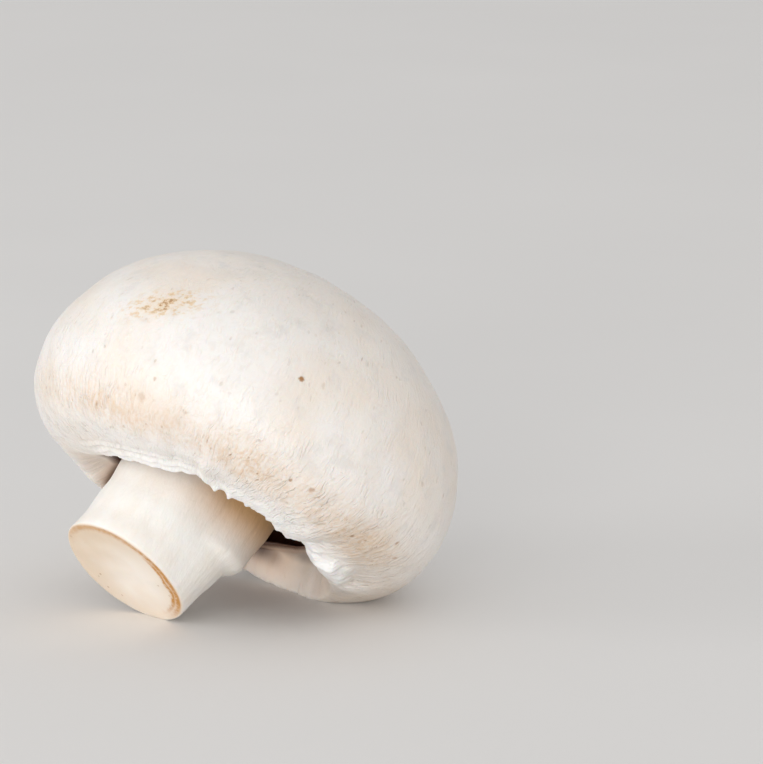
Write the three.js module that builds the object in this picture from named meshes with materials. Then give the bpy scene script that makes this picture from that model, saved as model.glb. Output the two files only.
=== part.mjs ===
// Button mushroom, picked with its stem cut short, lying on its side.
// It rests on a small pressed spot of the cap's margin and on the edge of the cut stem.
//
// Units are millimetres. The mushroom is first built upright, with the axis of the cap on +Z and the
// widest plane of the cap at z = 0, and then tipped over until cap and stem both meet the surface.
// In the part's own frame the surface is z = 0 and the crown of the cap points along +X and upwards.

import * as THREE from "three";

// Cap
const CAP_RADIUS = 29.6; // at its widest plane
const CROWN_HEIGHT = 22.8; // widest plane up to the top of the dome
const MARGIN_DEPTH = 12.5; // widest plane down to the lowest ring of the rolled margin
const MARGIN_ROLL_RADIUS = 19.0; // radius of that lowest ring
const MARGIN_SADDLE = 0.8; // the margin hangs this much deeper on two opposite sides
const MARGIN_TILT = 0.035; // rise of the mouth of the cap towards its high side, per unit
const LIP_RADIUS = 15.0; // torn edge of the veil, around the mouth of the cap
const LIP_RISE = 1.4; // the lip lies this far above the lowest ring of the margin
const LIP_THICKNESS = 1.4;
const LIP_OFFSET = 0.85; // the mouth sits a little to one side of the axis
const LIP_TORN = 2.6; // the veil tore off this much further out on +Y than on -Y
const LIP_WAVE = 0.35; // unevenness of the torn edge
const LIP_SPREAD = 3.2; // how far from the edge these changes reach
const PRESS_DEPTH = 1.2; // depth of the spot that the cap's own weight has pressed flat

// Hollow under the cap
const CEILING_HEIGHT = 3.2; // flesh above the gills starts here, over the widest plane
const CEILING_RADIUS = 17.0; // the ceiling is level as far out as this
const HOLLOW_BULGE = 25.0; // radius that the wall of the hollow swings out towards

// Gills
const GILL_COUNT = 60;
const GILL_DEPTH = 6.2; // from the ceiling down to the edge of a gill, at its deepest
const GILL_ROOT = 1.2; // thickness of the layer that the gills grow from
const GILL_INNER_RADIUS = 12.2; // the gills stop short of the stem
const GILL_OUTER_RADIUS = 20.3;
const GROWTH_GAP = 0.3; // clearance between pieces that grow on each other

// Stem
const STEM_RADIUS = 9.6; // under the cap
const STEM_WAIST_RADIUS = 9.1;
const STEM_FOOT_RADIUS = 9.4; // at the cut
const STEM_LENGTH = 27.2; // from the cut to the ceiling of the cap
const STEM_OFFSET = 0.5; // the stem grows a little to one side of the axis
const CUT_ROUNDING = 0.6; // radius of the edge of the cut
const CUT_REACH = 12.0; // the slant of the cut fades out over this height
const SHOULDER_HEIGHT = 8.0; // height above the cut of the step left by the veil
const SHOULDER_SPREAD = 0.35; // sharpness of the step
const SHOULDER_SIZE = 2.6;

// Mesh fineness
const AROUND_CAP = 60;
const AROUND_STEM = 40;

const radians = THREE.MathUtils.degToRad;

const STEM_LEAN_X = Math.tan(radians(9)); // the foot swings out towards -X
const STEM_LEAN_Y = Math.tan(radians(5)); // and towards -Y
const CUT_SLOPE_X = Math.tan(radians(7.5)); // the knife went through square to the leaning stem
const CUT_SLOPE_Y = Math.tan(radians(9.9)); // in X, and at a slant in Y
const HIGH_SIDE = radians(-40); // side on which the mouth of the cap rises
const SHOULDER_SIDE = radians(35); // side of the stem that the step is on
const LOW_SIDE = radians(39); // side of the cap that it lies on, from +X of the upright mushroom

/** Points of an elliptical arc in the r-z half plane, from angle a to angle b in degrees. */
function arc(centreR, centreZ, radiusR, radiusZ, a, b, steps) {
  return new THREE.EllipseCurve(
    centreR, centreZ, radiusR, radiusZ, radians(a), radians(b), b < a,
  ).getPoints(steps);
}

/** Revolves a closed r-z outline about +Z. */
function revolve(outline, around) {
  return new THREE.LatheGeometry(outline, around).rotateX(Math.PI / 2);
}

/** Moves each vertex of a geometry by a function of its place, radius, angle and height. */
function reshape(geometry, move) {
  const places = geometry.getAttribute("position");
  const p = new THREE.Vector3();
  for (let i = 0; i < places.count; i++) {
    p.fromBufferAttribute(places, i);
    move(p, Math.hypot(p.x, p.y), Math.atan2(p.y, p.x), p.z);
    places.setXYZ(i, p.x, p.y, p.z);
  }
  geometry.deleteAttribute("normal");
  geometry.deleteAttribute("uv");
  return geometry;
}

/** Outline of the cap: ceiling and wall of the hollow, the lip, the rolled margin and the dome. */
function capOutline() {
  const lipHeight = -MARGIN_DEPTH + LIP_RISE;
  const half = LIP_THICKNESS / 2;
  const wall = new THREE.CubicBezierCurve(
    new THREE.Vector2(CEILING_RADIUS, CEILING_HEIGHT),
    new THREE.Vector2(HOLLOW_BULGE, CEILING_HEIGHT),
    new THREE.Vector2(HOLLOW_BULGE, lipHeight + half),
    new THREE.Vector2(LIP_RADIUS + half, lipHeight + half),
  ).getPoints(9);
  const lip = arc(LIP_RADIUS + half, lipHeight, half, half, 90, 250, 4);
  const underside = new THREE.QuadraticBezierCurve(
    lip.at(-1),
    new THREE.Vector2(LIP_RADIUS + LIP_THICKNESS, -MARGIN_DEPTH),
    new THREE.Vector2(MARGIN_ROLL_RADIUS, -MARGIN_DEPTH),
  ).getPoints(3);
  const margin = arc(MARGIN_ROLL_RADIUS, 0, CAP_RADIUS - MARGIN_ROLL_RADIUS, MARGIN_DEPTH, -90, 0, 9);
  const dome = arc(0, 0, CAP_RADIUS, CROWN_HEIGHT, 0, 90, 14);
  return [
    new THREE.Vector2(0, CEILING_HEIGHT),
    ...wall,
    ...lip.slice(1),
    ...underside.slice(1),
    ...margin.slice(1),
    ...dome.slice(1, -1),
    new THREE.Vector2(0, CROWN_HEIGHT),
  ];
}

/** The cap, upright, with its hollow open downwards. */
function capGeometry() {
  return reshape(revolve(capOutline(), AROUND_CAP), (p, radius, angle, height) => {
    const below = Math.max(0, -height / MARGIN_DEPTH);
    const outside = THREE.MathUtils.smoothstep(radius, LIP_RADIUS, MARGIN_ROLL_RADIUS);
    p.z -= MARGIN_SADDLE * Math.cos(2 * angle) * below * outside;
    p.z += MARGIN_TILT * radius * Math.cos(angle - HIGH_SIDE) * below;
    const atLip = Math.exp(-(((radius - LIP_RADIUS) / LIP_SPREAD) ** 2)) * below;
    const wave = Math.sin(5 * angle + 0.6) + 0.7 * Math.sin(11 * angle) + 0.5 * Math.sin(17 * angle + 2);
    const outward = LIP_WAVE * wave + LIP_TORN * Math.max(0, Math.sin(angle));
    const scale = 1 + (outward * atLip) / Math.max(radius, 1);
    p.x = p.x * scale + LIP_OFFSET * atLip;
    p.y *= scale;
  });
}

/** The ring of gills: one thin layer, with radial ridges parted by grooves. */
function gillGeometry() {
  const top = CEILING_HEIGHT - GROWTH_GAP;
  const root = top - GILL_ROOT;
  const arch = root - (GILL_DEPTH - GILL_ROOT) / 0.75; // a cubic curve reaches three quarters of its handles
  const edge = new THREE.CubicBezierCurve(
    new THREE.Vector2(GILL_INNER_RADIUS, root),
    new THREE.Vector2(GILL_INNER_RADIUS, arch),
    new THREE.Vector2(GILL_OUTER_RADIUS, arch),
    new THREE.Vector2(GILL_OUTER_RADIUS, root),
  ).getPoints(6);
  const outline = [
    new THREE.Vector2(GILL_INNER_RADIUS, top),
    ...edge,
    new THREE.Vector2(CEILING_RADIUS, top),
    new THREE.Vector2(GILL_INNER_RADIUS, top),
  ];
  const step = Math.PI / GILL_COUNT;
  return reshape(revolve(outline, 2 * GILL_COUNT), (p, radius, angle, height) => {
    const inGroove = Math.abs(Math.round(angle / step)) % 2 === 1;
    if (inGroove && height < root) p.z = root;
  });
}

/** The stem, upright, with the centre of its top at the origin and its foot leaning out. */
function stemGeometry() {
  const side = new THREE.SplineCurve([
    new THREE.Vector2(STEM_FOOT_RADIUS, CUT_ROUNDING),
    new THREE.Vector2(STEM_WAIST_RADIUS, STEM_LENGTH / 6),
    new THREE.Vector2(STEM_WAIST_RADIUS, STEM_LENGTH / 3),
    new THREE.Vector2(STEM_RADIUS, STEM_LENGTH / 2),
    new THREE.Vector2(STEM_RADIUS, STEM_LENGTH),
  ]).getPoints(16);
  const edge = arc(STEM_FOOT_RADIUS - CUT_ROUNDING, CUT_ROUNDING, CUT_ROUNDING, CUT_ROUNDING, -90, 0, 3);
  const outline = [
    new THREE.Vector2(0, 0),
    ...edge,
    ...side.slice(1),
    new THREE.Vector2(0, STEM_LENGTH),
  ];
  return reshape(revolve(outline, AROUND_STEM), (p, radius, angle, height) => {
    const onSide = Math.max(0, Math.cos(angle - SHOULDER_SIDE));
    const step = 1 / (1 + Math.exp((SHOULDER_HEIGHT - height) / SHOULDER_SPREAD));
    const fade = 1 - 0.5 * THREE.MathUtils.smoothstep(height, STEM_LENGTH / 2, STEM_LENGTH);
    const swell = 1 + (SHOULDER_SIZE * onSide * step * fade) / STEM_RADIUS;
    p.x *= swell;
    p.y *= swell;
    const nearCut = 1 - THREE.MathUtils.smoothstep(height, 0, CUT_REACH);
    p.z -= (CUT_SLOPE_X * p.x + CUT_SLOPE_Y * p.y) * nearCut + STEM_LENGTH;
    p.x += STEM_LEAN_X * p.z;
    p.y += STEM_LEAN_Y * p.z;
  });
}

/** A named mesh with its own material. */
function piece(name, geometry, colour, roughness) {
  const material = new THREE.MeshStandardMaterial({ color: colour, roughness, metalness: 0 });
  const mesh = new THREE.Mesh(geometry, material);
  mesh.name = name;
  return mesh;
}

const cap = piece("cap", capGeometry(), 0xefe6da, 0.55);
const gills = piece("gills", gillGeometry(), 0x9a7460, 0.8);
const stem = piece("stem", stemGeometry(), 0xf2ebe0, 0.6);

stem.position.set(-STEM_OFFSET, 0, CEILING_HEIGHT - GROWTH_GAP);

// Turned about the axis so that the low side faces +X, and then tipped over about Y.
const upright = new THREE.Group();
upright.rotation.z = -LOW_SIDE;
upright.add(cap, gills, stem);
const lying = new THREE.Group();
lying.add(upright);
const mushroom = new THREE.Group();
mushroom.add(lying);

/** Height of the lowest point of a mesh in the part's frame. */
function lowest(mesh) {
  mushroom.updateMatrixWorld(true);
  return new THREE.Box3().setFromObject(mesh, true).min.z;
}

/** Tips the mushroom until the cut edge of the stem is level with the pressed spot of the cap. */
function tipOver() {
  let low = radians(20);
  let high = radians(80);
  for (let i = 0; i < 40; i++) {
    lying.rotation.y = (low + high) / 2;
    if (lowest(stem) < lowest(cap) + PRESS_DEPTH) low = lying.rotation.y;
    else high = lying.rotation.y;
  }
}

/** Flattens the part of a mesh that lies below a level of the part's frame. */
function press(mesh, level) {
  const places = mesh.geometry.getAttribute("position");
  const p = new THREE.Vector3();
  for (let i = 0; i < places.count; i++) {
    mesh.localToWorld(p.fromBufferAttribute(places, i));
    p.z = Math.max(p.z, level);
    mesh.worldToLocal(p);
    places.setXYZ(i, p.x, p.y, p.z);
  }
}

tipOver();
press(cap, lowest(stem));
const box = new THREE.Box3().setFromObject(mushroom, true);
const middle = box.getCenter(new THREE.Vector3());
lying.position.set(-middle.x, -middle.y, -box.min.z);

export default mushroom;
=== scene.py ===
"""Looks of a button mushroom that lies on its side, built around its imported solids.

Shapes are worked out in millimetres for a mushroom that stands upright, with the axis of the cap on +Z and
the widest plane of the cap at z = 0. The class Lying then tips them over, into the frame of the solids.
Angles around the axis are called sides. They start at +X of the upright mushroom, and are in radians unless
degrees are named. The attribute "arc" of a mesh is the length along the outline that it was revolved from,
which is 0 at the tip of the cap's lip and at the rim of the stem's cut, and positive on the outside.
"""

import logging
from collections.abc import Callable
from dataclasses import dataclass
from enum import Enum
from math import atan2, comb, cos, degrees, dist, exp, hypot, radians, sin, sqrt, tan, tau

import bmesh
import bpy
from bmesh.types import BMesh, BMVert
from bpy.types import ID, Material, Mesh, Node, NodeSocket, Object
from mathutils import Euler, Matrix, Vector, noise


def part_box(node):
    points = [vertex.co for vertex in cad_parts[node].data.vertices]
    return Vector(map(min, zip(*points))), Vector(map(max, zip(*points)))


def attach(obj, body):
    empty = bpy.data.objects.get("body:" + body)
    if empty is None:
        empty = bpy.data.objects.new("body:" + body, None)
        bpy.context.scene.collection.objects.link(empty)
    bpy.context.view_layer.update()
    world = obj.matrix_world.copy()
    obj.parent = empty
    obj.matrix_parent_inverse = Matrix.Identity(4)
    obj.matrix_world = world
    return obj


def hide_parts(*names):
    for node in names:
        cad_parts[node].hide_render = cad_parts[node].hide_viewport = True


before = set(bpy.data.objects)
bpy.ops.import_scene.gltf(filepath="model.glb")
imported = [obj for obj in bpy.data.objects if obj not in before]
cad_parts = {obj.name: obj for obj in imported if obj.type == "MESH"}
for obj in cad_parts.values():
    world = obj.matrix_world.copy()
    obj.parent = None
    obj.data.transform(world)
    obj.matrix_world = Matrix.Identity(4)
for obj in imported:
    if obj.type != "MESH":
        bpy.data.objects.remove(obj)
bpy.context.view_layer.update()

log = logging.getLogger("mushroom")

MM = 0.001  # one millimetre, in metres
BODY = "root"
COLOUR_A, COLOUR_B, COLOUR_MIXED = 6, 7, 2  # sockets of a Mix node that mixes colours

Point = tuple[float, float]
Colour = tuple[float, float, float, float]
Number = "Value | float"
Layers = tuple[tuple[float, float, float], ...]  # height, size and seed of each layer of noise


# Numbers and curves

def smoothstep(low: float, high: float, x: float) -> float:
    """Return a share that rises from 0 at low to 1 at high; it falls where low is above high."""
    t = min(1.0, max(0.0, (x - low) / (high - low)))
    return t * t * (3 - 2 * t)


def bell(x: float, centre: float, width: float) -> float:
    """Return a bump of height 1 at centre that has faded to a third at width to either side."""
    return exp(-(((x - centre) / width) ** 2))


def arc(centre: Point, radii: Point, start: float, end: float, steps: int) -> list[Point]:
    """Return points of an arc of an ellipse with half axes along r and z, between angles in degrees."""
    angles = [radians(start + (end - start) * i / steps) for i in range(steps + 1)]
    return [(centre[0] + radii[0] * cos(a), centre[1] + radii[1] * sin(a)) for a in angles]


def bezier(handles: list[Point], steps: int) -> list[Point]:
    """Points of a Bezier curve.

    Args:
        handles: Its handles.
        steps: Number of stretches.

    Returns:
        The points, both ends among them.
    """
    degree = len(handles) - 1
    points = []
    for i in range(steps + 1):
        t = i / steps
        shares = [comb(degree, k) * t**k * (1 - t) ** (degree - k) for k in range(degree + 1)]
        points.append(tuple(sum(s * h[axis] for s, h in zip(shares, handles)) for axis in (0, 1)))
    return points


def straight(start: Point, end: Point, steps: int) -> list[Point]:
    """Return evenly spaced points from start to end."""
    return bezier([start, ((start[0] + end[0]) / 2, (start[1] + end[1]) / 2), end], steps)


def ripple(place: Vector, size: float, seed: float) -> float:
    """Return smooth noise from -1 to 1 whose lumps are about size across."""
    return noise.noise(place / size + Vector((seed, 2.7 * seed, -1.3 * seed)))


def ripples(place: Vector, layers: Layers) -> float:
    """Return the sum of layers of smooth noise at a place."""
    return sum(height * ripple(place, size, seed) for height, size, seed in layers)


@dataclass(frozen=True)
class Stretch:
    """An amount that is there within full degrees of a side, and fades to none at reach degrees."""

    amount: float
    side: float
    full: float
    reach: float

    def at(self, side: float) -> float:
        """Return the amount at a side."""
        away = abs(degrees(side) - self.side) % 360
        return self.amount * smoothstep(self.reach, self.full, min(away, 360 - away))


def total(stretches: tuple[Stretch, ...], side: float) -> float:
    """Return the sum of several stretches at a side."""
    return sum(stretch.at(side) for stretch in stretches)


# Meshes and objects

def revolve(mesh: BMesh, corners: list[BMVert], loop: bool, steps: int) -> None:
    """Join corners by edges and spin them about the axis.

    Args:
        mesh: The mesh, which holds nothing but the corners.
        corners: The corners, in order.
        loop: Whether the last corner is joined to the first.
        steps: Number of steps around the axis.
    """
    following = corners[1:] + corners[:1] if loop else corners[1:]
    for first, second in zip(corners, following):
        mesh.edges.new((first, second))
    bmesh.ops.spin(
        mesh, geom=mesh.verts[:] + mesh.edges[:], cent=(0, 0, 0), axis=(0, 0, 1), dvec=(0, 0, 0),
        angle=tau, steps=steps, use_merge=True, use_duplicate=False,
    )


def outline_mesh(points: list[Point], start: int, around: int) -> BMesh:
    """Revolve an outline about the axis.

    Args:
        points: Outline in the r-z half plane, from axis to axis.
        start: Index of the point where the attribute "arc" is 0.
        around: Number of steps around the axis.

    Returns:
        A closed mesh whose faces point outwards.
    """
    mesh = bmesh.new()
    arc_layer = mesh.verts.layers.float.new("arc")
    corners = [mesh.verts.new((r, 0, z)) for r, z in points]
    lengths = [0.0]
    for first, second in zip(points, points[1:]):
        lengths.append(lengths[-1] + dist(first, second))
    for corner, length in zip(corners, lengths):
        corner[arc_layer] = length - lengths[start]
    revolve(mesh, corners, False, around)
    bmesh.ops.remove_doubles(mesh, verts=mesh.verts[:], dist=1e-5)
    bmesh.ops.recalc_face_normals(mesh, faces=mesh.faces[:])
    return mesh


def mesh_data(name: str, mesh: BMesh, material: Material) -> Mesh:
    """Make mesh data with one material.

    Args:
        name: Its name.
        mesh: The mesh, which is freed.
        material: Its finish.

    Returns:
        The data.
    """
    data = bpy.data.meshes.new(name)
    mesh.to_mesh(data)
    mesh.free()
    data.materials.append(material)
    return data


def add_object(name: str, data: ID) -> Object:
    """Put an object into the scene.

    Args:
        name: Its name.
        data: Its mesh, lamp or camera.

    Returns:
        The object.
    """
    made = bpy.data.objects.new(name, data)
    bpy.context.scene.collection.objects.link(made)
    return made


@dataclass(frozen=True)
class Lying:
    """How the upright mushroom is laid down: turned so that its low side faces down, and tipped over."""

    low_side: float = radians(39)
    tip: float = radians(39.114)
    cap_radius: float = 29.6
    crown_height: float = 22.8

    def turn(self) -> Matrix:
        """Return the turn from the upright mushroom to the lying one."""
        return Matrix.Rotation(self.tip, 4, "Y") @ Matrix.Rotation(-self.low_side, 4, "Z")

    def centre(self) -> Vector:
        """Centre of the cap's widest plane in the frame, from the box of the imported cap.

        Returns:
            The point, in metres.
        """
        low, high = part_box("cap")
        radius = self.cap_radius * MM
        crown = self.crown_height * MM
        across = hypot(radius * cos(self.tip), crown * sin(self.tip))
        upwards = hypot(radius * sin(self.tip), crown * cos(self.tip))
        return Vector((high.x - across, (low.y + high.y) / 2, high.z - upwards))

    def matrix(self) -> Matrix:
        """Return the whole move from upright millimetres to metres in the frame."""
        return Matrix.Translation(self.centre()) @ self.turn() @ Matrix.Scale(MM, 4)

    def finished(self, name: str, mesh: BMesh, material: Material) -> Object:
        """Lay a mesh down and make it a piece of the mushroom.

        Args:
            name: Its name.
            mesh: The mesh, upright and in millimetres, which is freed.
            material: Its finish.

        Returns:
            The object, riding on the body.
        """
        bmesh.ops.transform(mesh, matrix=self.matrix(), verts=mesh.verts[:])
        for vert in mesh.verts:
            vert.co.z = max(vert.co.z, 0.0)  # pressed flat where it rests
        for face in mesh.faces:
            face.smooth = True
        piece = add_object(name, mesh_data(name, mesh, material))
        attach(piece, BODY)
        return piece


LYING = Lying()


# Shader graph

def arithmetic(operation: str) -> Callable[["Value", Number], "Value"]:
    """Return a method that joins a value and another number by a Math node."""
    return lambda value, other: value.joined(operation, value, other)


class Value:
    """A number that varies over a surface: one output socket, with arithmetic that adds Math nodes."""

    __add__ = __radd__ = arithmetic("ADD")
    __sub__ = arithmetic("SUBTRACT")
    __mul__ = __rmul__ = arithmetic("MULTIPLY")
    __truediv__ = arithmetic("DIVIDE")
    both = arithmetic("MAXIMUM")

    def __init__(self, graph: "Graph", socket: NodeSocket) -> None:
        """Wrap a socket of a graph."""
        self.graph = graph
        self.socket = socket

    def joined(self, operation: str, *inputs: Number) -> "Value":
        """Return the output of a Math node."""
        return self.graph.value("Math", dict(enumerate(inputs)), operation=operation)

    def __rsub__(self, other: float) -> "Value":
        """Return the difference from a number."""
        return self.joined("SUBTRACT", other, self)

    def rise(self, low: float, high: float) -> "Value":
        """Return the smoothstep: 0 at low and 1 at high, which may be below low."""
        inputs = {"Value": self, "From Min": low, "From Max": high}
        return self.graph.value("MapRange", inputs, interpolation_type="SMOOTHSTEP")

    def bell(self, centre: float, width: float) -> "Value":
        """Return a bump of height 1 at centre that has faded to a third at width to either side."""
        away = (self - centre) / width
        return self.joined("EXPONENT", away * away * -1)


class Graph:
    """The node tree of one material, written as expressions on the upright mushroom's coordinates."""

    def __init__(self, name: str, base: Colour) -> None:
        """Start a material.

        Args:
            name: Name of the material.
            base: The colour that the layers are painted on.
        """
        self.colour: object = base
        self.material = bpy.data.materials.new(name)
        self.material.use_nodes = True
        self.tree = self.material.node_tree
        self.tree.nodes.clear()
        upright = Euler((0, -LYING.tip, LYING.low_side))
        mapping = self.node("Mapping", {
            "Vector": self.node("TexCoord", {}).outputs["Object"],
            "Location": upright.to_matrix() @ (LYING.centre() / -MM),
            "Rotation": upright,
            "Scale": (1 / MM,) * 3,
        })
        self.place = mapping.outputs["Vector"]
        split = self.node("SeparateXYZ", {"Vector": self.place})
        self.x, self.y, self.z = (Value(self, split.outputs[axis]) for axis in "XYZ")
        flat = self.vector("MULTIPLY", self.place, (1, 1, 0))
        self.side = self.vector("NORMALIZE", flat)
        self.angle = self.value("Math", {0: self.y, 1: self.x}, operation="ARCTAN2")
        self.radius = self.distance(flat, (0, 0, 0))

    def node(self, kind: str, inputs: dict, **settings: object) -> Node:
        """Add a shader node.

        Args:
            kind: Its type, without "ShaderNode".
            inputs: Numbers, colours, sockets or values for its sockets, by name or index.
            **settings: Its properties.

        Returns:
            The node.
        """
        made = self.tree.nodes.new("ShaderNode" + kind)
        for name, setting in settings.items():
            setattr(made, name, setting)
        for key, given in inputs.items():
            if isinstance(given, Value):
                given = given.socket
            if isinstance(given, NodeSocket):
                self.tree.links.new(given, made.inputs[key])
            else:
                made.inputs[key].default_value = given
        return made

    def value(self, kind: str, inputs: dict, **settings: object) -> Value:
        """Add a node and return its first output as a value."""
        return Value(self, self.node(kind, inputs, **settings).outputs[0])

    def vector(self, operation: str, first: object, second: object = (0, 0, 0)) -> NodeSocket:
        """Return the output of a Vector Math node."""
        return self.node("VectorMath", {0: first, 1: second}, operation=operation).outputs["Vector"]

    def distance(self, first: object, second: object) -> Value:
        """Return the distance between two places."""
        made = self.node("VectorMath", {0: first, 1: second}, operation="DISTANCE")
        return Value(self, made.outputs["Value"])

    def stretched(self, around: object, arc: Value, factor: float) -> NodeSocket:
        """Return coordinates for fibres: a pattern on them is longer by the factor along the outline."""
        along = self.node("CombineXYZ", {"Z": arc / factor}).outputs["Vector"]
        return self.vector("ADD", around, along)

    def attribute(self, name: str) -> Value:
        """Return a number kept on the mesh."""
        read = self.node("Attribute", {}, attribute_type="GEOMETRY", attribute_name=name)
        return Value(self, read.outputs["Fac"])

    def blotches(self, vector: object, size: float, detail: float = 2.0, roughness: float = 0.5) -> Value:
        """Return smooth noise around 0.5 whose largest blotches have a size in millimetres."""
        inputs = {"Vector": vector, "Scale": 1 / size, "Detail": detail, "Roughness": roughness}
        return self.value("TexNoise", inputs)

    def strayed(self, vector: object, size: float, amount: float) -> NodeSocket:
        """Return coordinates with an uneven shift, from none to the amount on each axis."""
        moves = self.node("TexNoise", {"Vector": self.place, "Scale": 1 / size, "Detail": 2.0})
        return self.vector("ADD", vector, self.vector("MULTIPLY", moves.outputs["Color"], (amount,) * 3))

    def flecks(self, vector: object, spacing: float, size: float, share: float) -> Value:
        """Scattered small marks with soft edges.

        Args:
            vector: Coordinates, in millimetres.
            spacing: Mean distance between the places where a mark may be.
            size: Radius of a mark.
            share: Share of the places that have one.

        Returns:
            0 outside the marks, and 0.6 to 1.4 inside.
        """
        cells = self.node("TexVoronoi", {"Vector": vector, "Scale": 1 / spacing}, feature="F1")
        chance = self.node("SeparateColor", {"Color": cells.outputs["Color"]})
        here = Value(self, chance.outputs["Red"]).rise(share, share - 0.02)
        uneven = 0.6 + 0.8 * Value(self, chance.outputs["Green"])
        reach = size / spacing
        return Value(self, cells.outputs["Distance"]).rise(reach, 0.4 * reach) * here * uneven

    def lay(self, share: Value, colour: object) -> None:
        """Paint a share of a colour over the base and the layers so far."""
        self.colour = self.mix(share, self.colour, colour)

    def mix(self, factor: Value, first: object, second: object) -> NodeSocket:
        """Return a mix of two colours."""
        inputs = {"Factor": factor, COLOUR_A: first, COLOUR_B: second}
        return self.node("Mix", inputs, data_type="RGBA", clamp_factor=True).outputs[COLOUR_MIXED]

    def shaded(self, roughness: Value, relief: Value, **constants: object) -> Material:
        """Close the graph with a shader.

        Args:
            roughness: Roughness.
            relief: Height of the fine relief, in millimetres.
            **constants: Other inputs of the shader by name, with spaces written as underscores.

        Returns:
            The finished material.
        """
        bump = self.node("Bump", {"Strength": 1.0, "Distance": MM, "Height": relief})
        inputs = {name.replace("_", " "): constant for name, constant in constants.items()}
        inputs |= {"Base Color": self.colour, "Roughness": roughness, "Normal": bump.outputs["Normal"]}
        shader = self.node("BsdfPrincipled", inputs, subsurface_method="RANDOM_WALK")
        self.node("OutputMaterial", {"Surface": shader.outputs["BSDF"]})
        return self.material


def paint(code: str) -> Colour:
    """Return the linear colour of six hexadecimal digits, as shown on a screen."""
    shown = [int(code[i : i + 2], 16) / 255 for i in (0, 2, 4)]
    return (*(s / 12.92 if s <= 0.04045 else ((s + 0.055) / 1.055) ** 2.4 for s in shown), 1.0)


# Finishes

@dataclass(frozen=True)
class Mark:
    """One small stain at a side, in degrees, and a height over the cap's widest plane."""

    side: float
    height: float
    size: float
    strength: float


MARKS = (
    Mark(-84, 4.6, 0.5, 0.95),
    Mark(-117, -4.4, 0.4, 0.4),
    Mark(-119, -6.9, 0.9, 0.25),
    Mark(-72, -7.1, 0.35, 0.7),
    Mark(-66, -6.6, 0.5, 0.5),
    Mark(-45, -7.9, 0.45, 0.75),
    Mark(-32, -5.0, 0.45, 0.6),
    Mark(-26, -6.4, 0.5, 0.55),
    Mark(20, 6.0, 0.5, 0.6),
    Mark(75, -3.0, 0.5, 0.6),
    Mark(128, 7.5, 0.6, 0.5),
    Mark(160, -6.0, 0.5, 0.5),
)


@dataclass(frozen=True)
class Bruise:
    """The yellow-brown bruise: a slanting patch of dots and short strokes with a dense core."""

    side: float = radians(-126)
    height: float = 5.3
    radius: float = 29.0
    slant: float = radians(30)
    middle: float = -0.2
    length: float = 5.2
    width: float = 2.2
    core_length: float = 1.1
    core_width: float = 0.7

    def share(self, graph: Graph) -> Value:
        """How bruised the skin is.

        Args:
            graph: The graph of the cap's skin.

        Returns:
            0 beside the bruise, and up to about 1 on it.
        """
        around = (graph.angle - self.side) * self.radius
        above = graph.z - self.height
        along = around * cos(self.slant) + above * sin(self.slant)
        across = above * cos(self.slant) - around * sin(self.slant)
        shape = along.bell(self.middle, self.length) * across.bell(0, self.width)
        core = along.bell(self.middle, self.core_length) * across.bell(0, self.core_width)
        strokes = graph.node("CombineXYZ", {"X": along / 1.4, "Y": across, "Z": graph.radius / 1.4})
        spots = graph.blotches(strokes.outputs["Vector"], 0.75, 3, 0.7)
        return shape * (0.3 + spots.rise(0.46, 0.66)) * 0.7 + core * spots.rise(0.35, 0.6) * 0.6


class CapPatterns(Graph):
    """Graph of the cap's skin, with the masks and patterns that its colour and its relief share."""

    def __init__(self, base: Colour, cap: "Cap") -> None:
        """Lay out the patterns.

        Args:
            base: The colour that the layers are painted on.
            cap: The cap, for its sizes.
        """
        super().__init__("cap_skin", base)
        self.arc = self.attribute("arc")
        self.veil = self.attribute("veil")
        self.outside = self.arc.rise(-1.5, 0.5)
        self.near_margin = self.arc.rise(24, 10)
        self.near_lip = self.arc.rise(5.0, 1.5)
        self.smooth_lip = self.near_lip.both(self.veil)
        self.far_side = self.y.rise(-8, 8)
        off_pole = self.radius.rise(2, 9)  # fibres would meet in a star at the crown

        flank = self.vector("MULTIPLY", self.side, (cap.radius,) * 3)
        around = self.strayed(flank, 3.5, 2.2)
        streaks = self.stretched(around, self.arc, 2.8)
        dashes = self.stretched(around, self.arc, 1.7)
        hairs = self.stretched(around, self.arc, 6.5)
        self.clouds = self.blotches(self.place, 14)
        self.mottle = self.blotches(self.place, 3.2, 3, 0.6)
        self.grain = self.blotches(streaks, 0.5, 3, 0.6) * off_pole
        broken = self.blotches(self.place, 1.8, 1).rise(0.45, 0.65)
        self.strokes = self.blotches(hairs, 0.55, 1).rise(0.47, 0.63) * (0.35 + 0.65 * broken) * off_pole
        lines = self.blotches(streaks, 1.0, 2).bell(0.5, 0.03)
        self.creases = lines * broken * off_pole * (1 - self.smooth_lip)

        height = self.z + 1.3 * self.x.rise(-5, -14)
        level = height.bell(-7.8, 2.8) * height.rise(-10.4, -8.7)
        patches = self.blotches(self.side, 0.55, 2).rise(0.3, 0.7)
        strength = (0.25 + 0.75 * self.y.rise(-4, -17)) * (0.35 + 0.5 * patches)
        granular = self.blotches(self.place, 0.6, 3, 0.65).rise(0.4, 0.65)
        uneven = 0.4 + 0.45 * self.grain.rise(0.4, 0.65) + 0.3 * granular
        self.band = level * strength * uneven * (0.4 + self.mottle)

        single = self.flecks(dashes, spacing=1.5, size=0.28, share=0.8)
        self.specks = single * self.mottle.rise(0.3, 0.6) * off_pole
        crowded = self.flecks(dashes, spacing=0.9, size=0.26, share=0.4)
        self.band_specks = crowded * self.band.rise(0.05, 0.4) * (1 - self.veil)


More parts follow.
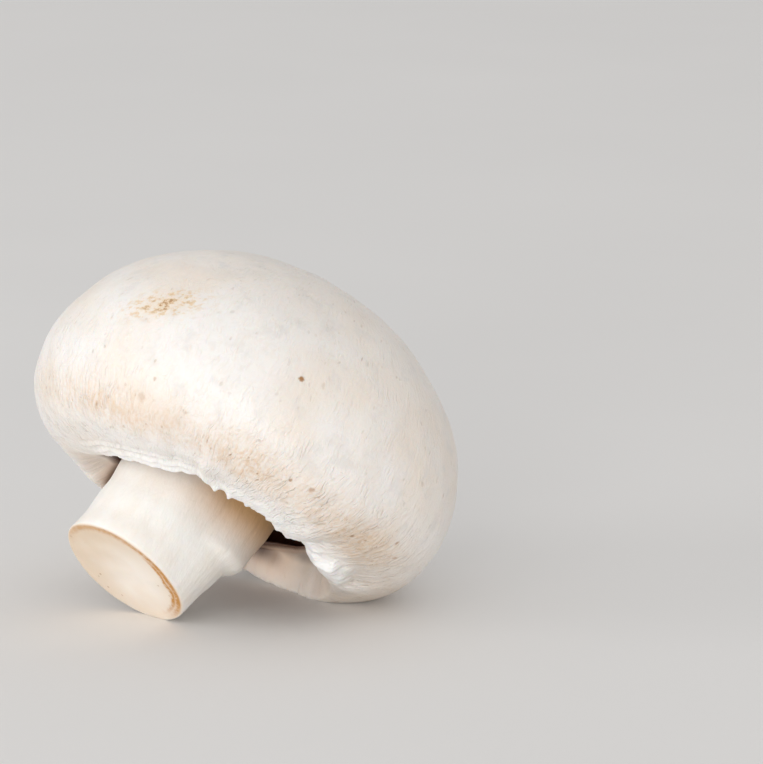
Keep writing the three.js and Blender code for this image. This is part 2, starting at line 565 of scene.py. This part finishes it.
@dataclass(frozen=True)
class CapSkin:
    """Skin of the cap: off-white and satin, with faint mottling, fine fibres and a few stains."""

    white: Colour = paint("f6f2ee")
    cream: Colour = paint("f1e4d6")
    grey: Colour = paint("dedad6")
    tan: Colour = paint("debb92")
    straw: Colour = paint("e3bf88")
    # stains, and painted shade in the hollow beside the stem
    brown: Colour = paint("a8763f")
    # specks, and painted shade on the low side of the cap
    fleck_and_shade: Colour = paint("b09c82")
    cotton: Colour = paint("fdfbf8")
    inner: Colour = paint("fcdfc6")
    # painted shade: the dark inside of the hollow
    painted_dark_shade: Colour = paint("4f2d16")
    bruise: Bruise = Bruise()
    marks: tuple[Mark, ...] = MARKS

    def material(self, cap: "Cap") -> Material:
        """Build the finish.

        Args:
            cap: The cap, for its sizes and the places of its stains.

        Returns:
            The material.
        """
        skin = CapPatterns(self.white, cap)
        self._paint_skin(skin)
        self._paint_stains(skin, cap)
        self._paint_mouth(skin)
        return skin.shaded(
            0.4 + 0.12 * skin.grain - 0.1 * skin.clouds, self._relief(skin),
            Subsurface_Weight=0.3, Subsurface_Radius=(1.0, 0.7, 0.5), Subsurface_Scale=2.0 * MM,
            Specular_IOR_Level=0.4, Sheen_Weight=0.08, Sheen_Roughness=0.5,
        )

    def _paint_skin(self, skin: CapPatterns) -> None:
        """Paint the mottled skin, its tan band and its specks, a painted highlight and painted shade.

        Args:
            skin: The patterns.
        """
        # painted highlight: less cream where the key lamp's highlight falls, so the skin is whiter there
        painted_highlight = skin.z.bell(1, 6) * skin.y.rise(-20, -27) * skin.x.rise(6, -4)
        creamy = skin.clouds.rise(0.35, 0.7).both(skin.z.rise(4, 18) * 0.6)
        skin.lay(creamy * (0.8 - 0.7 * painted_highlight), self.cream)
        skin.lay(skin.mottle.rise(0.5, 0.75) * 0.45, self.grey)
        skin.lay(skin.grain.rise(0.45, 0.75) * 0.3, self.cream)
        skin.lay(skin.band, self.tan)
        # painted shade: the low side of the cap, where the light falls off, is darkened with the fleck
        # colour
        low_side = skin.x.rise(8, 22) * skin.z.rise(-1, -9)
        skin.lay(low_side * (0.08 + 0.25 * skin.mottle), self.fleck_and_shade)
        skin.lay(skin.specks * 0.3, self.fleck_and_shade)
        skin.lay(skin.band_specks * 0.4, self.brown)
        # tan along the fine creases: partly their own tone, partly painted shade in the creases
        skin.lay(skin.creases * (0.06 + 0.08 * skin.near_margin), self.tan)

    def _paint_stains(self, skin: CapPatterns, cap: "Cap") -> None:
        """Paint the bruise and the single stains.

        Args:
            skin: The patterns.
            cap: The cap, for the places of the stains.
        """
        bruised = self.bruise.share(skin)
        skin.lay(bruised.rise(0.0, 0.5) * 0.65, self.straw)
        skin.lay(bruised.rise(0.4, 1.0) * 0.8, self.brown)
        ragged = 0.7
        place = skin.strayed(skin.place, ragged, ragged)
        stained = None
        for mark in self.marks:
            spot = cap.on_skin(radians(mark.side), mark.height) + Vector((ragged / 2,) * 3)
            share = skin.distance(place, spot).rise(mark.size, 0.3 * mark.size) * mark.strength
            stained = share if stained is None else stained.both(share)
        skin.lay(stained, self.brown)

    def _paint_mouth(self, skin: CapPatterns) -> None:
        """Paint the lip with its veil, and the hollow inside it, with painted shade that darkens it away
        from the light.

        Args:
            skin: The patterns.
        """
        above_lip = skin.arc.rise(9.0, 6.5) * skin.y.rise(-6, -13) * (1 - 0.7 * skin.x.rise(-9, -16))
        skin.lay(above_lip * 0.6, self.white)
        skin.lay((skin.near_lip * 0.6).both(skin.veil * 0.95), self.cotton)
        ends = (1 - 0.5 * skin.x.rise(12, 18)) * (1 - 0.5 * skin.x.rise(-8, -14))
        skin.lay(skin.arc.rise(7.0, 3.0) * skin.far_side * ends * 0.85, self.inner)

        # painted shade: brown on the walls of the hollow beside the stem, where little light reaches
        far_lip = skin.far_side * skin.arc.rise(6, 4)
        left = skin.x.rise(-15.0, -12.9) * skin.x.rise(0, -5)
        hollow_shade = (skin.y.rise(11.5, 16.5) * skin.z.rise(-12.0, -8.8) * 0.35).both(left * 0.6)
        skin.lay(hollow_shade * far_lip, self.brown)
        # painted shade: dark brown where the far wall runs into the dark of the hollow, beside the stem and
        # at the lip's inner edge
        shaded = (skin.y.rise(13, 16.5) * skin.z.rise(-11.0, -8.6)).both(skin.z.rise(-9.0, -7.6) * 0.6)
        shaded = shaded.both(left * skin.x.rise(-14.0, -12.6)).both(skin.arc.rise(2.2, 0.2))
        skin.lay(shaded * far_lip * 0.95, self.painted_dark_shade)
        # painted shade: the whole inner wall past the lip is darkened to dark brown
        skin.lay(skin.arc.rise(0.7, -1.2), self.painted_dark_shade)

    def _relief(self, skin: CapPatterns) -> Value:
        """Fine relief: fibres that are combed near the margin, pits and pores.

        Args:
            skin: The patterns.

        Returns:
            Its height, in millimetres.
        """
        combed = skin.near_margin * (1 - 0.6 * skin.smooth_lip)
        ends = skin.x.rise(-4, 14).both(skin.x.rise(-10, -20) * 0.8)
        fibres = skin.grain * (0.1 + 0.1 * combed) + skin.strokes * (0.04 + combed * (0.04 + 0.08 * ends))
        pits = (skin.specks + skin.band_specks) * -0.04 + skin.creases * (-0.006 - 0.012 * skin.near_margin)
        smooth = 1 - 0.8 * skin.far_side * skin.arc.rise(7, 4)
        pores = skin.blotches(skin.place, 0.35, 2) * 0.02
        outer = (fibres + pits) * smooth + pores + skin.mottle * 0.08
        return outer * skin.outside + skin.grain * (1 - skin.outside) * 0.1


@dataclass(frozen=True)
class StemSkin:
    """Skin of the stem with faint lengthwise fibres, and the fresh cut with its brown line."""

    white: Colour = paint("faf7f2")
    cream: Colour = paint("f1e6d9")
    # painted shadow of the cap's lip on the top of the stem
    painted_lip_shadow: Colour = paint("cb9a60")
    cut: Colour = paint("f8f0e6")
    cut_edge: Colour = paint("e4d0b8")
    line: Colour = paint("c48a3e")
    speck: Colour = paint("a87f52")

    def material(self, stem: "Stem") -> Material:
        """Build the finish.

        Args:
            stem: The stem, for its sizes.

        Returns:
            The material.
        """
        graph = Graph("stem_skin", self.white)
        arc = graph.attribute("arc")
        on_side = arc.rise(-0.3, 0.3)
        flank = graph.vector("MULTIPLY", graph.side, (stem.radius,) * 3)
        fibre = graph.blotches(graph.stretched(flank, arc, 6), 0.6, 3, 0.6)
        wrinkles = graph.blotches(graph.vector("MULTIPLY", graph.place, (1, 1, 0.4)), 1.1, 3, 0.6)
        clouds = graph.blotches(graph.place, 6)

        graph.lay(clouds.rise(0.35, 0.7) * 0.5, self.cream)
        graph.lay(fibre.rise(0.5, 0.8) * 0.25, self.cream)
        # painted shadow: tan-brown under the cap's lip, stronger on the right
        under_lip = graph.z.rise(-17, -9) * (0.2 + 0.8 * graph.x.rise(-7, 4))
        graph.lay(under_lip * 0.95, self.painted_lip_shadow)
        graph.lay(1 - on_side, self._cut_face(graph, arc, clouds))

        relief = (fibre * 0.05 + wrinkles * 0.14) * on_side + (1 - on_side) * clouds * 0.1
        return graph.shaded(
            0.55 + 0.1 * fibre, relief,
            Subsurface_Weight=0.2, Subsurface_Radius=(1.0, 0.65, 0.45), Subsurface_Scale=1.5 * MM,
            Specular_IOR_Level=0.35, Sheen_Weight=0.08, Sheen_Roughness=0.5,
        )

    def _cut_face(self, graph: Graph, arc: Value, clouds: Value) -> object:
        """Cut of the stem: cream with a lighter centre, specks and a brown line inside the rim.

        Args:
            graph: The graph of the stem's skin.
            arc: Its attribute "arc".
            clouds: Broad noise.

        Returns:
            Its colour.
        """
        tanned = arc.rise(-6, -1) * 0.4 + clouds.rise(0.4, 0.8) * 0.3 + graph.x.rise(-1, -9) * 0.5
        face = graph.mix(tanned, self.cut, self.cut_edge)
        specks = graph.flecks(graph.place, spacing=1.9, size=0.25, share=0.3)
        face = graph.mix(specks * 0.5, face, self.speck)
        wander = graph.blotches(graph.side, 0.5, 2) - 0.5
        fine = graph.blotches(graph.place, 0.5, 2)
        ragged = arc + wander * 0.6 + fine * 0.5
        line = ragged.bell(-0.2, 0.6) * (0.65 + 0.35 * graph.x.rise(-6, 0))
        second = (ragged + wander * 0.5).bell(-1.05, 0.35) * graph.x.rise(-5, 0)
        near_side = graph.y.rise(2, -6)
        return graph.mix(line.both(second) * near_side * (0.3 + 1.4 * fine), face, self.line)


@dataclass(frozen=True)
class GillFlesh:
    """Pink-brown gills."""

    pink: Colour = paint("b08a76")
    brown: Colour = paint("6d4633")

    def material(self) -> Material:
        """Build the finish.

        Returns:
            The material.
        """
        graph = Graph("gill_flesh", self.pink)
        clouds = graph.blotches(graph.place, 2.5, 3)
        graph.lay(clouds.rise(0.3, 0.7), self.brown)
        relief = graph.blotches(graph.place, 0.4) * 0.04
        return graph.shaded(0.7 + 0.1 * clouds, relief, Specular_IOR_Level=0.3)


@dataclass(frozen=True)
class Backdrop:
    """Matt pale paper."""

    pale: Colour = paint("eae8e6")
    paler: Colour = paint("eeecea")

    def material(self) -> Material:
        """Build the finish.

        Returns:
            The material.
        """
        graph = Graph("backdrop", self.pale)
        clouds = graph.blotches(graph.place, 60)
        graph.lay(clouds, self.paler)
        relief = graph.blotches(graph.place, 0.8) * 0.01
        return graph.shaded(0.8 + 0.05 * clouds, relief, Specular_IOR_Level=0.2)


# Sub-assemblies

@dataclass(frozen=True)
class Dent:
    """A broad, shallow dent, with a third of its depth left at its reach from the middle."""

    place: Vector
    depth: float
    reach: float

    def at(self, place: Vector) -> float:
        """Return the depth at a place."""
        return self.depth * bell((place - self.place).length, 0, self.reach)


@dataclass
class Cap:
    """The cap: dome, rolled margin, torn lip of the veil, and the hollow that the gills hang in."""

    radius: float = 29.6
    crown: float = 22.8
    depth: float = 12.5
    roll_radius: float = 19.0
    saddle: float = 0.8
    tilt: float = 0.035
    high_side: float = radians(-40)
    lip_radius: float = 15.0
    lip_rise: float = 1.4
    lip_thickness: float = 1.4
    lip_offset: float = 0.85
    lip_torn: float = 2.6
    lip_wave: float = 0.35
    lip_spread: float = 3.2
    lip_pull: Stretch = Stretch(1.3, -10, 12, 30)
    mouth_lifts: tuple[Stretch, ...] = (
        Stretch(0.75, -72, 33, 55),
        Stretch(0.4, -66, 22, 32),
        Stretch(1.15, -8, 10, 30),
        Stretch(1.3, -27, 11, 24),
        Stretch(1.1, 166, 12, 40),
    )
    left_lip_lift: Stretch = Stretch(0.35, -115, 40, 60)
    left_roll_lift: Stretch = Stretch(0.75, -142, 15, 42)
    notch: Stretch = Stretch(0.6, -103, 4, 12)
    far_lift: float = 3.7
    far_lift_slant: float = 2.0
    far_sag: Stretch = Stretch(1.3, 75, 0, 50)
    torn: tuple[Stretch, ...] = (Stretch(1.0, -72, 26, 32), Stretch(0.25, -125, 25, 40))
    ceiling: float = 3.2
    ceiling_radius: float = 17.0
    bulge: float = 25.0
    around: int = 440
    dents: tuple[Dent, ...] = (Dent(Vector((-27, -3, 9)), 0.85, 14.0),)
    lumps: Layers = ((0.28, 10, 1), (0.12, 4, 2))
    fibres: Layers = ((0.10, 0.9, 3), (0.08, 2.2, 4))
    ridges: Stretch = Stretch(0.17, -132, 22, 36)
    ridge_spacing: float = 1.3
    combs: Stretch = Stretch(0.36, -28, 22, 40)
    crumbs: Layers = ((0.25, 0.8, 9),)
    teeth: Layers = ((0.5, 1.6, 6), (0.5, 0.8, 7), (0.4, 0.45, 8))
    veil_thickness: float = 0.4
    veil_width: float = 2.8
    veil_widenings: tuple[Stretch, ...] = (Stretch(5.0, -22, 4, 22), Stretch(2.2, -62, 14, 24))
    veil_edge: Layers = ((1.0, 2.5, 11), (0.5, 0.9, 12))
    flap_thickness: float = 1.3
    finish: CapSkin = CapSkin()

    def on_skin(self, side: float, height: float) -> Vector:
        """Point of the finished skin, away from the lip.

        Args:
            side: Its side.
            height: Its height.

        Returns:
            The point, upright and in millimetres.
        """
        clear_of_lip = 14.0
        inner, reach = (0.0, self.crown) if height > 0 else (self.roll_radius, self.depth)
        even = height
        for _ in range(2):
            r = inner + (self.radius - inner) * sqrt(1 - (even / reach) ** 2)
            place = self.grown(Vector((r * cos(side), r * sin(side), even)))
            even += height - place.z
        outward = Vector((cos(side), sin(side), height / reach)).normalized()
        return place + outward * self.detail(place, clear_of_lip)

    def outline(self) -> tuple[list[Point], int]:
        """Outline from the ceiling, along the wall, around the lip and the margin, and over the dome.

        Returns:
            Its points, and the index of the tip of the lip.
        """
        lip_height = self.lip_rise - self.depth
        half = self.lip_thickness / 2
        flat = straight((0, self.ceiling), (self.ceiling_radius, self.ceiling), 6)
        lip = arc((self.lip_radius + half, lip_height), (half, half), 90, 250, 12)
        bulges = [(self.bulge, self.ceiling), (self.bulge, lip_height + half)]
        wall = bezier([flat[-1], *bulges, (self.lip_radius + half, lip_height + half)], 28)
        foot = (self.lip_radius + self.lip_thickness, -self.depth)
        underside = bezier([lip[-1], foot, (self.roll_radius, -self.depth)], 28)
        margin = arc((self.roll_radius, 0), (self.radius - self.roll_radius, self.depth), -90, 0, 62)
        dome = arc((0, 0), (self.radius, self.crown), 0, 90, 72)
        dome[-1] = (0.0, self.crown)
        points = [*flat, *wall[1:], *lip[1:], *underside[1:], *margin[1:], *dome[1:]]
        return points, len(flat) + len(wall) - 1 + len(lip) // 2

    def grown(self, place: Vector) -> Vector:
        """Hanging margin, tilted mouth, raised far lip, and torn, off-centre near lip.

        Args:
            place: A point of the revolved outline.

        Returns:
            Where it grew to.
        """
        radius = hypot(place.x, place.y)
        side = atan2(place.y, place.x)
        below = max(0.0, -place.z / self.depth)
        outside = smoothstep(self.lip_radius, self.roll_radius, radius)
        rise = self.tilt * radius * cos(side - self.high_side) * below
        sag = self.saddle * cos(2 * side) * below * outside
        at_lip = bell(radius, self.lip_radius, self.lip_spread) * below
        wave = sin(5 * side + 0.6) + 0.7 * sin(11 * side) + 0.5 * sin(17 * side + 2)
        outward = self.lip_wave * wave + self.lip_torn * max(0.0, sin(side)) + self.lip_pull.at(side)
        scale = 1 + outward * at_lip / max(radius, 1.0)
        lift = self._mouth_lift(side, radius) * below * below
        x = place.x * scale + self.lip_offset * at_lip
        return Vector((x, place.y * scale, place.z + rise - sag + lift))

    def _mouth_lift(self, side: float, radius: float) -> float:
        """How much higher than the even outline the mouth of the cap lies.

        Args:
            side: Its side.
            radius: Its distance from the axis.

        Returns:
            The height.
        """
        turned = degrees(side)
        lift = total(self.mouth_lifts, side)
        lift += self.left_lip_lift.at(side) * bell(radius, self.lip_radius, 4)
        lift += self.left_roll_lift.at(side) * bell(radius, self.roll_radius + 2, 4)
        lift += self.notch.at(side) * smoothstep(-95.5, -98.5, turned)
        far = self.far_lift + self.far_lift_slant * cos(side)
        far *= smoothstep(-6, 30, turned) * smoothstep(180, 140, turned)
        return lift + (far - self.far_sag.at(side)) * smoothstep(20.5, 16.5, radius)

    def detail(self, place: Vector, length: float) -> float:
        """Unevenness of the skin.

        Args:
            place: A point of the grown cap.
            length: Its "arc".

        Returns:
            How far the point moves out along its normal.
        """
        side = atan2(place.y, place.x)
        flank = Vector((cos(side), sin(side), 0))
        lumps = ripples(place, self.lumps) - sum(dent.at(place) for dent in self.dents)
        combed = flank * self.roll_radius + Vector((0, 0, length / 5))
        fibres = ripples(combed, self.fibres) * smoothstep(20, 6, length) * smoothstep(-1, 2, length)
        rows = length / self.ridge_spacing + 0.25 * ripple(flank * self.lip_radius, 5, 5)
        ridges = self.ridges.at(side) * sin(tau * rows)
        ridges *= smoothstep(0.5, 1.2, length) * smoothstep(5.6, 4.2, length)
        combs = self.combs.at(side) * bell(length, 7, 4) * ripple(combed, 1.0, 10)
        crumbs = ripples(place, self.crumbs) * bell(length, 0.8, 1.2) * total(self.torn, side)
        band, flap = self.veil(place, length)
        veil = self.veil_thickness * band + self.flap_thickness * flap
        return lumps * smoothstep(0.0, 3.0, length) + fibres + ridges + combs + crumbs + veil

    def veil(self, place: Vector, length: float) -> tuple[float, float]:
        """The cottony veil that is left along the near lip.

        Args:
            place: A point of the grown cap.
            length: Its "arc".

        Returns:
            Shares of the thin band, and of the thick flap that hangs at its right end.
        """
        side = atan2(place.y, place.x)
        turned = degrees(side)
        ragged = ripples(place, self.veil_edge)
        width = self.veil_width + total(self.veil_widenings, side)
        band = smoothstep(-13, -18, turned + 2.5 * ragged) * smoothstep(-178, -150, turned)
        band *= smoothstep(width + 1.5, width - 1.5, length + ragged) * smoothstep(0.2, 1.6, length)
        turned += 2.0 * ripple(place, 1.2, 15)
        flap = smoothstep(-33, -27, turned) * smoothstep(-6, -13, turned)
        flap *= smoothstep(0.5, 2.5, length) * smoothstep(7.6, 5.8, length + 1.2 * ripple(place, 2.0, 16))
        return band, flap

    def _drop(self, side: float, length: float) -> float:
        """Return how far the torn lip hangs down, which is negative where it is torn back."""
        edge = Vector((cos(side), sin(side), 0)) * self.lip_radius
        return ripples(edge, self.teeth) * total(self.torn, side) * bell(length, 0.9, 1.0)

    def mesh(self) -> BMesh:
        """Build the cap.

        Returns:
            Its mesh, upright and in millimetres.
        """
        mesh = outline_mesh(*self.outline(), self.around)
        for vert in mesh.verts:
            vert.co = self.grown(vert.co)
        mesh.normal_update()
        veil_layer = mesh.verts.layers.float.new("veil")
        arc_layer = mesh.verts.layers.float["arc"]
        moves = []
        for vert in mesh.verts:
            length = vert[arc_layer]
            vert[veil_layer] = max(self.veil(vert.co, length))
            drop = self._drop(atan2(vert.co.y, vert.co.x), length)
            moves.append(vert.normal * self.detail(vert.co, length) - Vector((0, 0, drop)))
        for vert, move in zip(mesh.verts, moves):
            vert.co += move
        return mesh

    def build(self) -> Object:
        """Make the piece.

        Returns:
            The piece, which stands for the solid cap.
        """
        piece = LYING.finished("cap_flesh", self.mesh(), self.finish.material(self))
        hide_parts("cap")
        return piece


@dataclass
class Stem:
    """The stem: a slightly waisted rod with a shoulder, leaning, cut at a slant."""

    radius: float = 9.6
    waist_radius: float = 9.1
    foot_radius: float = 9.4
    length: float = 26.85
    offset: float = 0.5
    top: float = 2.9
    cut_rounding: float = 0.35
    cut_reach: float = 12.0
    shoulder_height: float = 7.65
    shoulder_spread: float = 0.35
    shoulder_size: float = 2.6
    shoulder_side: float = radians(35)
    flank: Stretch = Stretch(1.2, 5, 20, 75)
    foot_trim: Stretch = Stretch(0.35, 180, 30, 85)
    lean: Point = (tan(radians(9)), tan(radians(5)))
    cut_slope: Point = (tan(radians(7.5)), tan(radians(12.1)))
    groove: float = 0.12
    fibres: Layers = ((0.03, 0.9, 11), (0.08, 3, 12))
    lumps: Layers = ((0.15, 5, 13),)
    cut_lumps: Layers = ((0.12, 3, 14),)
    around: int = 300
    side_steps: int = 96
    finish: StemSkin = StemSkin()

    def outline(self) -> tuple[list[Point], int]:
        """Outline from the middle of the cut, around its edge and up the side to the middle of the top.

        Returns:
            Its points, and the index of the rim of the cut.
        """
        rounding = self.cut_rounding
        rim = self.foot_radius - rounding
        face = straight((0, 0), (rim, 0), 36)
        edge = arc((rim, rounding), (rounding, rounding), -90, 0, 8)
        step = (self.length - rounding) / self.side_steps
        heights = [rounding + step * i for i in range(self.side_steps + 1)]
        side = [(self._side_radius(height), height) for height in heights]
        top = straight((self.radius, self.length), (0, self.length), 6)
        points = [*face, *edge[1:], *side[1:], *top[1:]]
        return points, len(face) - 1 + len(edge) // 2

    def _side_radius(self, height: float) -> float:
        """Radius of the side: a curve through foot, waist, waist, middle and top.

        Args:
            height: Height over the cut.

        Returns:
            The radius.
        """
        marks = (
            (self.cut_rounding, self.foot_radius),
            (self.length / 6, self.waist_radius),
            (self.length / 3, self.waist_radius),
            (self.length / 2, self.radius),
            (self.length, self.radius),
        )
        for (low, first), (high, second) in zip(marks, marks[1:]):
            if height <= high:
                return first + (second - first) * smoothstep(low, high, height)
        return self.radius

    def grown(self, place: Vector) -> Vector:
        """Shoulder, fuller flank, trimmed foot, slanted cut and lean.

        Args:
            place: A point of the revolved outline.

        Returns:
            Where it grew to, with the top of the stem under the ceiling of the cap.
        """
        side = atan2(place.y, place.x)
        height = place.z
        on_side = max(0.0, cos(side - self.shoulder_side))
        step = 1 / (1 + exp((self.shoulder_height - height) / self.shoulder_spread))
        fade = 1 - 0.5 * smoothstep(self.length / 2, self.length, height)
        below_step = self.flank.at(side) * bell(height, 6.5, 4.0)
        trim = self.foot_trim.at(side) * smoothstep(9, 1, height)
        swell = 1 + (self.shoulder_size * on_side * step * fade + below_step - trim) / self.radius
        x = place.x * swell
        y = place.y * swell
        near_cut = smoothstep(self.cut_reach, 0, height)
        z = height - self.length - (self.cut_slope[0] * x + self.cut_slope[1] * y) * near_cut
        return Vector((x + self.lean[0] * z - self.offset, y + self.lean[1] * z, z + self.top))

    def detail(self, place: Vector, side: float, length: float) -> float:
        """Unevenness of the skin and of the cut, with two grooves inside its rim.

        Args:
            place: A point of the grown stem.
            side: Its angle around the stem's own axis.
            length: Its "arc".

        Returns:
            How far the point moves out along its normal.
        """
        flank = Vector((cos(side), sin(side), 0))
        combed = flank * self.radius + Vector((0, 0, length / 6))
        skin = ripples(combed, self.fibres) + ripples(place, self.lumps)
        near_rim = 0.5 - 0.5 * sin(side)
        grooves = self.groove * near_rim * (bell(length, -0.35, 0.22) + 0.7 * bell(length, -1.0, 0.2))
        cut = ripples(place, self.cut_lumps) - grooves
        return skin * smoothstep(-0.2, 1.0, length) + cut * smoothstep(0.2, -0.4, length)

    def mesh(self) -> BMesh:
        """Build the stem.

        Returns:
            Its mesh, upright and in millimetres.
        """
        mesh = outline_mesh(*self.outline(), self.around)
        arc_layer = mesh.verts.layers.float["arc"]
        sides = [atan2(vert.co.y, vert.co.x) for vert in mesh.verts]
        for vert in mesh.verts:
            vert.co = self.grown(vert.co)
        mesh.normal_update()
        moves = []
        for vert, side in zip(mesh.verts, sides):
            moves.append(vert.normal * self.detail(vert.co, side, vert[arc_layer]))
        for vert, move in zip(mesh.verts, moves):
            vert.co += move
        return mesh

    def build(self) -> Object:
        """Make the piece.

        Returns:
            The piece, which stands for the solid stem.
        """
        piece = LYING.finished("stem_flesh", self.mesh(), self.finish.material(self))
        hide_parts("stem")
        return piece


@dataclass
class Gills:
    """The gills: thin plates that hang from a ring in the roof of the hollow, free of the stem."""

    count: int = 150
    inner: float = 12.2
    outer: float = 20.3
    top: float = 2.9
    root: float = 1.2
    depth: float = 6.2
    plate: float = 0.34
    short_start: float = 3.5
    short_depth: float = 0.7
    around: int = 120
    finish: GillFlesh = GillFlesh()

    def _add_plate(self, mesh: BMesh, index: int) -> None:
        """Add one gill.

        Args:
            mesh: Mesh to add it to.
            index: Its number around the ring; every second gill is a short one.
        """
        short = index % 2 == 1
        start = self.inner + (self.short_start if short else 0.0)
        arch = (self.depth - self.root) * (self.short_depth if short else 1.0)
        made = bmesh.ops.create_grid(mesh, x_segments=6, y_segments=2, size=0.5)["verts"]
        for vert in made:
            along = vert.co.x + 0.5
            down = 0.5 - vert.co.y
            reach = arch * (4 * along * (1 - along)) ** 0.6 + self.root / 2
            bend = 0.25 * noise.noise(Vector((along * 3, index * 1.7, down))) * down
            hang = self.top - self.root / 2 - down * reach
            vert.co = Vector((start + (self.outer - start) * along, bend, hang))
        faces = list({face for vert in made for face in vert.link_faces})
        solid = bmesh.ops.solidify(mesh, geom=faces, thickness=self.plate)["geom"]
        verts = {*made, *(part for part in solid if isinstance(part, BMVert))}
        turn = Matrix.Rotation(tau * index / self.count, 3, "Z")
        bmesh.ops.rotate(mesh, verts=list(verts), cent=(0, 0, 0), matrix=turn)

    def mesh(self) -> BMesh:
        """Build the ring and its gills.

        Returns:
            Their mesh, upright and in millimetres.
        """
        low = self.top - self.root
        ring = [(self.inner, self.top), (self.inner, low), (self.outer, low), (self.outer - 3, self.top)]
        mesh = bmesh.new()
        revolve(mesh, [mesh.verts.new((r, 0, z)) for r, z in ring], True, self.around)
        for index in range(self.count):
            self._add_plate(mesh, index)
        bmesh.ops.recalc_face_normals(mesh, faces=mesh.faces[:])
        return mesh

    def build(self) -> Object:
        """Make the piece.

        Returns:
            The piece, which stands for the solid gills.
        """
        piece = LYING.finished("gill_plates", self.mesh(), self.finish.material())
        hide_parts("gills")
        return piece


# Stage

@dataclass(frozen=True)
class Beam:
    """A lamp's place in degrees, right of the camera and above the floor, its size and its watts."""

    right: float
    above: float
    size: float
    power: float


class Lamp(Enum):
    """The studio's lamps."""

    KEY = Beam(right=-77.0, above=12.0, size=0.8, power=4.6)
    HIGH = Beam(right=-20.0, above=24.0, size=0.9, power=2.8)
    FRONT = Beam(right=-12.0, above=3.0, size=0.6, power=8.3)


@dataclass
class Studio:
    """Pale floor, soft lamps and the camera, whose distance and aim are in millimetres."""

    distance: float = 650.0
    lens: float = 232.8
    sensor: float = 36.0
    look_up: float = radians(12.3)
    roll: float = radians(30.2)
    aim: Point = (18.01, 7.25)
    lamp_distance: float = 1.5
    lamp_aim: float = 0.024
    floor_size: float = 4.0
    world: Colour = paint("c8c8c8")
    world_strength: float = 1.13
    finish: Backdrop = Backdrop()

    def add_camera(self) -> Object:
        """Add the camera.

        Returns:
            Its object.
        """
        across = Vector((1, 0, 0))
        back = Vector((0, -cos(self.look_up), -sin(self.look_up)))
        over = Vector((0, -sin(self.look_up), cos(self.look_up)))
        right = across * cos(self.roll) + over * sin(self.roll)
        up = over * cos(self.roll) - across * sin(self.roll)
        place = right * self.aim[0] + up * self.aim[1] + back * self.distance
        turn = LYING.turn().to_3x3()
        axes = Matrix([turn @ axis for axis in (right, up, back)]).transposed()
        data = bpy.data.cameras.new("camera")
        data.lens = self.lens
        data.sensor_width = self.sensor
        camera = add_object("camera", data)
        camera.matrix_world = Matrix.Translation(LYING.matrix() @ place) @ axes.to_4x4()
        bpy.context.scene.camera = camera
        return camera

    def add_lamps(self, camera: Object) -> None:
        """Add the lamps, placed around the mushroom as seen from the camera.

        Args:
            camera: The camera's object.
        """
        back = camera.matrix_world.to_3x3() @ Vector((0, 0, 1))
        for lamp in Lamp:
            beam = lamp.value
            turn = atan2(back.y, back.x) + radians(beam.right)
            rise = radians(beam.above)
            flat = Vector((cos(turn), sin(turn), 0)) * cos(rise)
            direction = flat + Vector((0, 0, sin(rise)))
            data = bpy.data.lights.new(lamp.name.lower(), "AREA")
            data.shape = "DISK"
            data.size = beam.size
            data.energy = beam.power
            light = add_object(lamp.name.lower(), data)
            light.location = direction * self.lamp_distance + Vector((0, 0, self.lamp_aim))
            light.rotation_euler = direction.to_track_quat("Z", "Y").to_euler()

    def add_world(self) -> None:
        """Add the even light of the room."""
        scene = bpy.context.scene
        scene.world = bpy.data.worlds.new("room")
        scene.world.use_nodes = True
        background = scene.world.node_tree.nodes["Background"]
        background.inputs["Color"].default_value = self.world
        background.inputs["Strength"].default_value = self.world_strength
        scene.view_settings.view_transform = "Standard"

    def add_floor(self) -> None:
        """Add the floor."""
        mesh = bmesh.new()
        bmesh.ops.create_grid(mesh, x_segments=8, y_segments=8, size=self.floor_size)
        floor = add_object("floor", mesh_data("floor", mesh, self.finish.material()))

    def build(self) -> None:
        """Set up everything around the mushroom."""
        self.add_lamps(self.add_camera())
        self.add_world()
        self.add_floor()


def main() -> None:
    """Build the mushroom and its stage, and log how many faces each piece has."""
    logging.basicConfig(level=logging.INFO, format="%(name)s: %(message)s")
    Studio().build()
    for part in (Cap(), Gills(), Stem()):
        piece = part.build()
        log.info("%s: %d faces", piece.name, len(piece.data.polygons))


if __name__ == "__main__":
    main()
